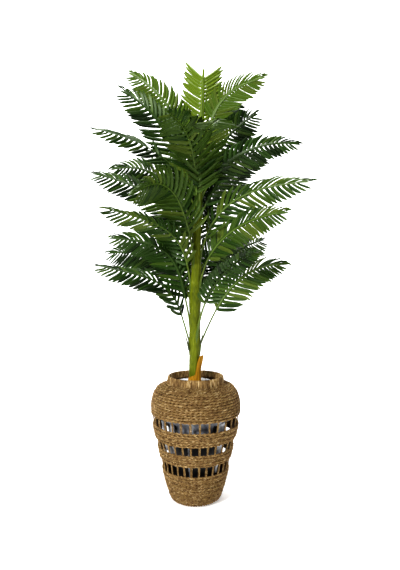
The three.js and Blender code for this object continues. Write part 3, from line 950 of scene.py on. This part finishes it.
# Lifts in degrees and shares of the length that are tried in turn.
SHIFTS = [(0, 1), (4, 1), (-4, 1), (8, 1), (-8, 1), (13, 1), (-13, 1), (0, 0.85), (8, 0.85),
          (-8, 0.85), (18, 0.85), (0, 0.65), (-16, 0.65), (24, 0.65), (18, 1), (-18, 1),
          (-18, 0.85), (26, 0.85), (12, 0.65), (34, 0.65), (-28, 0.65), (0, 0.5), (20, 0.5)]
# Width of the leaflets against their step, and the next lighter and darker greens, dealt to
# some leaflets as painted light and painted shade.
FILL = {"deep": 1.18, "leafy": 1.15, "grey": 1.5, "young": 1.25, "bright": 1.3}
LIGHTER = {"deep": "leafy", "leafy": "olive", "grey": "deep"}
DARKER = {"deep": "dark", "leafy": "deep", "grey": "dark", "young": "olive"}
print("leaflets a frond", 2 * LEAVES, "of", len(leaf_tube[2]), "triangles each")

# %% Length and fold along the blade


def keel(v):
    """How far the blade's sides are raised at a place along it, in degrees."""
    return 4 - 14 * v


def leaf_size(v, tint):
    """Length of the leaflets at a place along the blade, 0 to 1."""
    if v < 0.35:
        return LEAF_LENGTH * (0.8 + 0.2 * math.sin(math.pi / 2 * v / 0.35))
    shrink = 0 if tint == "bright" else 0.45
    return LEAF_LENGTH * (1 - shrink * min(1, max(0, (v - 0.5) / 0.5)) ** 1.5)


# %% One leaflet


class Leaflet:
    """Where one leaflet starts, which way it goes and how large it is."""

    def __init__(self, stem, v, hand, lift, scale, sway):
        along = stem.first + (stem.end - stem.first) * v
        point, way0, side, face = (a[0] for a in stem.at(np.array([along])))
        fold = math.radians(keel(v) + lift + sway[1])
        aside = hand * side * math.cos(fold) + face * math.sin(fold)
        up, down = max(0, aside[2]), max(0, -aside[2])
        closing = CLOSING.get(stem.tint, CLOSE) * max(0, v / 0.25 - 3) ** 2
        lifted = (LOWEST_UPPER if stem is stems[0] else UPPER) * up
        angle = math.radians(54 - 10 * v - closing - lifted + sway[0])
        self.rib = way0
        self.way = way0 * math.cos(angle) + aside * math.sin(angle)
        across = way0 - self.way * (way0 @ self.way)
        self.across = across / np.linalg.norm(across)
        self.foot = point + aside * 0.7 * thickness(along)
        self.hand = hand
        self.length = leaf_size(v, stem.tint) * stem.size * scale * sway[2]
        self.length *= 1 - 0.04 * up - 0.27 * down
        pitch = 1.15 * (1 - v) ** 0.13 * (stem.end - stem.first) * stem.length / LEAVES
        fill = FILL[stem.tint] + 0.2 * max(0, 1 - 3 * v)
        least = NARROWEST.get(stem.tint, NARROW)
        self.width = min(LEAF_WIDTH, max(least, fill * pitch * math.sin(angle)))
        self.droop = 0.15 * sway[3]
        self.bow = 0.06 * sway[4]
        mood = stem.mood * math.sin(5 * v + stem.turn) + 0.3 * sway[5]
        self.hook = 0.1 * max(0, mood)
        self.twist = 0.25 * mood
        self.tint = stem.tint
        # Painted light and shade: some leaflets take the next lighter or darker green, in waves along
        # the blade.
        shade = 0.6 * math.sin(9 * v + 2 * hand + 3 * stem.turn) + 0.75 * sway[5]
        if shade > 0.65:
            self.tint = LIGHTER.get(stem.tint, stem.tint)
        elif shade < -0.6:
            self.tint = DARKER.get(stem.tint, stem.tint)

    def middle(self, t):
        """The midrib: it leaves wide, curves forward and hangs more towards its tip."""
        line = self.foot + self.way * (self.length * t)[:, None]
        line = line - self.across * (self.bow * self.length * 4 * t * (1 - t))[:, None]
        sink = self.droop * np.maximum(t, 0) ** 2.2 + self.hook * np.clip(t / 0.4 - 1.5, 0, 2) ** 2
        line[:, 2] -= self.length * sink
        return line

    def shape(self):
        """Points of the leaflet: a squeezed tube with a crease along its middle."""
        along, swing = leaf_tube[:2]
        t = np.interp(along, np.linspace(0, 1, len(RINGS)), RINGS)
        way = unit(self.middle(t + 0.02) - self.middle(t - 0.02))
        across = unit(self.rib - way * (way @ self.rib)[:, None])
        normal = np.cross(way, across) * self.hand
        roll = (self.twist * t)[:, None]
        across, normal = (across * np.cos(roll) + normal * np.sin(roll),
                          normal * np.cos(roll) - across * np.sin(roll))
        reach = np.sign(np.cos(swing)) * np.abs(np.cos(swing)) ** 0.6
        reach = reach * np.interp(t, RINGS, WIDTHS) * self.width / 2
        thick = np.sin(swing) * 0.22
        crease = CREASE * np.abs(reach) * np.minimum(1, t / 0.12)
        return beside(self.middle(t), across, normal, reach, thick + crease)

    def part(self):
        """The leaflet's own mesh, with a stretch of the cloth's pattern."""
        corners, maps = leaf_tube[2:]
        chart = stretched(maps, self.length / 10, luck.uniform(0, 500))
        return outward(self.shape(), corners, chart)


# %% Tests that keep fronds apart
TRUNK_CLEAR, MIDRIB_CLEAR, NEARBY = 3, 3.2, 150
taken = [np.zeros((0, 3)) for _ in stems]
leaves = [[] for _ in stems]
marks = np.linspace(0.12, 1, 8)
stem_marks = [stem.at(np.linspace(0, BLADE_END, 50))[0] for stem in stems]


def free(own, spots):
    """Whether a leaflet's midrib keeps clear of the trunk and of other fronds' midribs."""
    gap = np.hypot(spots[:, 0] - lean(spots[:, 2]), spots[:, 1]) - trunk_radius(spots[:, 2])
    if (gap[spots[:, 2] < heights[-1]] < TRUNK_CLEAR).any():
        return False
    others = [k for k in range(len(stems)) if k != own]
    crowd = np.concatenate([marked[k] for marked in (taken, stem_marks) for k in others])
    near = crowd[(np.abs(crowd - spots[4]) < 80).all(1)]
    if not len(near):
        return True
    return ((near[None] - spots[:, None]) ** 2).sum(2).min() > MIDRIB_CLEAR ** 2


def skin_of(points, corners):
    """A surface that others can be tested against."""
    return BVHTree.FromPolygons(points.tolist(), corners.tolist())


def met(skin, others):
    """How many of the other surfaces this one passes through."""
    return sum(bool(skin.overlap(other)) for other in others)


def clearest(choices):
    """The first of (choice, crossings) that has none, or else the one with fewest."""
    best = None
    for choice, count in choices:
        if best is None or count < best[1]:
            best = choice, count
        if not count:
            break
    return best


def stem_skin(stem):
    """A tube round the whole stem, to test leaflets against."""
    along, swing, corners, _ = skin_tube
    along = BLADE_END * along
    point, _, side, face = stem.at(along)
    reach = thickness(along) + 0.5
    points = beside(point, side, face, reach * np.cos(swing), reach * np.sin(swing))
    return skin_of(points, corners)


skin_tube = tube(40, 6)
stem_skins = [stem_skin(stem) for stem in stems]
grown = []
print("stems to keep clear of", len(stem_skins))

# %% Grow the leaflets clear of one another


def positions(own, v, hand, sway):
    """Positions of a leaflet with a clear midrib, and how much of other fronds each meets."""
    for lift, scale in SHIFTS:
        leaf = Leaflet(stems[own], v, hand, lift, scale, sway)
        if not free(own, leaf.middle(marks)):
            continue
        skin = skin_of(leaf.shape(), leaf_tube[2])
        centre = leaf.middle(np.array([0.5]))[0]
        near = [tree for other, spot, tree in grown
                if other != own and math.dist(spot, centre) < NEARBY]
        near += [tree for other, tree in enumerate(stem_skins) if other != own]
        yield (leaf, (own, centre.tolist(), skin)), met(skin, near)


left_out = crossed = 0
for n in range(LEAVES):
    for own in range(len(stems)):
        for hand in (-1, 1):
            v = 1 - (1 - (n + 0.5 + 0.2 * hand) / LEAVES) ** 1.15
            sway = (*luck.normal(0, (1.1, 1.6)), *luck.normal(1, (0.03, 0.2, 0.2)), luck.normal(0, 1))
            best = clearest(positions(own, v, hand, sway))
            if best is None:
                left_out += 1
                continue
            (leaf, entry), count = best
            crossed += count
            grown.append(entry)
            leaves[own].append(leaf)
            taken[own] = np.vstack([taken[own], leaf.middle(marks)])
print("leaflets", sum(len(some) for some in leaves), "left out", left_out, "still crossing", crossed)

# %% Leaf finishes


def leaf_finish(name, colour):
    """Printed cloth: one plain green with a soft sheen and fine veins as bump."""
    cloth = Finish(name, colour, 0.42, Specular_IOR_Level=0.28, Specular_Tint=(0.85, 1, 0.65, 1))
    veins = cloth.cloud(cloth.strand((0.4, 22, 1)), 1.0, 2)
    cloth.bump(veins, 0.35, 0.0006)
    return cloth


greens = {
    # The dark green is painted shade; olive is painted light on mid-green fronds and painted shade on
    # young ones.
    "dark": leaf_finish("leaf_painted_shade_green", (17, 35, 8)),
    "deep": leaf_finish("leaf_deep_green", (38, 63, 18)),
    "leafy": leaf_finish("leaf_mid_green", (60, 83, 26)),
    "olive": leaf_finish("leaf_olive_green", (82, 99, 34)),
    # The grey green of the back fronds is painted shade.
    "grey": leaf_finish("leaf_grey_green_painted_shade", (38, 58, 31)),
    "young": leaf_finish("leaf_young_green", (75, 99, 28)),
    "bright": leaf_finish("leaf_bright_green", (100, 122, 27)),
}
FRESH = ("young", "bright")


def nodes_of(chosen):
    """Names of the CAD nodes of the chosen fronds."""
    return [f"frond_{own + 1:02d}" for own in chosen]


def fronds_in(*tints):
    """Numbers of the fronds in the given tints."""
    return [own for own, stem in enumerate(stems) if stem.tint in tints]


def slot_of(tint):
    return "leaf_young" if tint in FRESH else "leaf_dark"


for tint, finish in greens.items():
    parts = [leaf.part() for some in leaves for leaf in some if leaf.tint == tint]
    nodes = nodes_of([own for own, some in enumerate(leaves) if tint in {leaf.tint for leaf in some}])
    assemble(f"leaflets_{tint}", parts, finish, nodes, slot_of(tint), crisp=True)

# %% Strips along the ribs and end leaflets
strip_tube = tube(44, 6)
end_tube = tube(10, 8, pointed=True)


def strip_part(stem):
    """The strip of cloth along the rib that the leaflets are cut from."""
    v, swing, corners, maps = strip_tube
    point, _, side, face = stem.at(stem.first - 0.02 + (stem.end + 0.02 - stem.first) * v)
    wide = 1.6 if stem.tint == "bright" else 1
    reach = wide * (8.6 - 4.4 * v) * np.minimum(1, 0.3 + 7 * v) * np.cos(swing)
    rise = 0.8 * (1 - v) + 0.45 * np.sin(swing) + np.abs(reach) * np.tan(np.radians(keel(v)))
    return outward(beside(point, side, face, reach, rise), corners, maps)


def end_part(stem):
    """The narrow leaflet at the blade's end."""
    t, swing, corners, maps = end_tube
    point, way, side, face = (a[0] for a in stem.at(np.array([stem.end - 0.02])))
    length = 60 if stem.tint == "bright" else stem.length * (1 - BLADE_END) + 30
    wide = np.sin(np.pi * t ** 0.8) ** 0.7 * 5.2 + 0.8 * (1 - t)
    line = point + way * (length * t)[:, None]
    line[:, 2] -= 0.1 * length * t * t
    reach = wide * np.cos(swing)
    rise = 0.5 * np.sin(swing) + 0.3 * np.abs(reach)
    return outward(beside(line, side, face, reach, rise), corners, maps)


for tint, finish in greens.items():
    chosen = fronds_in(tint)
    if not chosen:
        continue
    parts = [make(stems[own]) for own in chosen for make in (strip_part, end_part)]
    assemble(f"strips_{tint}", parts, finish, nodes_of(chosen), slot_of(tint))

# %% [markdown]
# ## Stems
# The stem is a wire in green plastic. Its foot is a flat lens that lies against the trunk
# and swings round it a little before the stem parts from it, so no stem looks glued on.
# The bare stem is a light olive. Where the blade begins it becomes a rib as thin as a
# straw, nearly as dark as the leaflets.

# %% Bare stems with their feet
FOOT, FOOT_SHARE = 64, 0.34  # length of a foot, and its share of the tube
bare_tube = tube(44, 12)
rib_tube = tube(48, 8)


def bare_part(stem):
    """A bare stem: the foot lies along the trunk, the rest follows the stem."""
    place, swing, corners, maps = bare_tube
    down = np.clip(1 - place / FOOT_SHARE, 0, 1)
    along = np.clip((place - FOOT_SHARE) / (1 - FOOT_SHARE), 0, 1) * (stem.first + 0.01)
    point, _, side, face = stem.at(along)
    wide, deep = 0.5 + thickness(along), 0.4 + 0.85 * thickness(along)
    turn, z = stem.turn + stem.swing * down, stem.root - FOOT * down
    out = np.stack([np.cos(turn), np.sin(turn), 0 * turn], 1)
    low = out * (trunk_radius(z) + SEAT - 3.6 * down ** 1.5)[:, None]
    low = low + np.stack([lean(z), 0 * z, z], 1)
    on_trunk = (down > 0)[:, None]
    point, face = np.where(on_trunk, low, point), np.where(on_trunk, -out, face)
    side = np.where(on_trunk, np.stack([-np.sin(turn), np.cos(turn), 0 * turn], 1), side)
    wide = np.where(down > 0, np.interp(down, [0, 0.35, 0.7, 1], [4.2, 6.6, 5.2, 0.8]), wide)
    deep = np.where(down > 0, np.interp(down, [0, 0.3, 1], [3.6, 2.2, 1.2]), deep)
    reach = wide * np.cos(swing)
    bend = np.where(down > 0, reach ** 2 / 56, 0)
    points = beside(point, side, face, reach, deep * np.sin(swing) + bend)
    return outward(points, corners, stretched(maps, stem.length * stem.first / 10))


# %% Ribs and stem finishes


def rib_part(stem):
    """A thin rib from the blade's start to its end."""
    place, swing, corners, maps = rib_tube
    along = stem.first + (stem.end - stem.first) * place
    point, _, side, face = stem.at(along)
    girth = 0.85 * thickness(along)
    points = beside(point, side, face, girth * np.cos(swing), girth * np.sin(swing))
    return outward(points, corners, stretched(maps, stem.length / 10))


def stem_finish(name, dark, light):
    """Green plastic with faint streaks along it."""
    stops = [(0.3, dark), (0.7, light)]
    return grained(name, dark, 0.42, (0.25, 6, 1), 2, stops, 0.2, 0.0006, Specular_IOR_Level=0.35)


# %% Swing each foot clear of other stems


def footings(stem, drawn, others):
    """Swings of a stem's foot near the drawn one, and how many other stems each meets."""
    for aside in (0, 0.2, -0.2, 0.4, -0.4, 0.6, -0.6, 0.8, -0.8, 1.1, -1.1):
        stem.swing = drawn + aside
        skin = skin_of(*bare_part(stem)[:2])
        yield (stem.swing, skin), met(skin, others)


feet = []
for own, stem in enumerate(stems):
    drawn = -0.75 if stem is stems[0] else luck.uniform(-0.5, 0.5)
    others = feet + stem_skins[:own] + stem_skins[own + 1:]
    (stem.swing, foot), _ = clearest(footings(stem, drawn, others))
    feet.append(foot)
print("feet", len(feet))

# %% Stem and rib pieces
bare_green = stem_finish("stem_green", (64, 84, 18), (100, 118, 36))
bare_young = stem_finish("stem_young_green", (90, 112, 24), (126, 142, 46))
ribs = {
    "deep": stem_finish("rib_deep_green", (42, 62, 16), (62, 82, 26)),
    "leafy": stem_finish("rib_mid_green", (80, 104, 32), (104, 126, 48)),
    "grey": stem_finish("rib_grey_green", (46, 64, 26), (66, 84, 36)),
    "young": stem_finish("rib_young_green", (60, 82, 16), (84, 104, 28)),
    "bright": stem_finish("rib_bright_green", (50, 72, 12), (68, 90, 18)),
}
for label, finish, tints in (
    ("dark", bare_green, ("deep", "leafy", "grey")), ("young", bare_young, FRESH),
):
    chosen = fronds_in(*tints)
    parts = [bare_part(stems[own]) for own in chosen]
    assemble(f"stems_{label}", parts, finish, nodes_of(chosen), f"leaf_{label}")
for tint, finish in ribs.items():
    chosen = fronds_in(tint)
    parts = [rib_part(stems[own]) for own in chosen]
    assemble(f"ribs_{tint}", parts, finish, nodes_of(chosen), slot_of(tint))
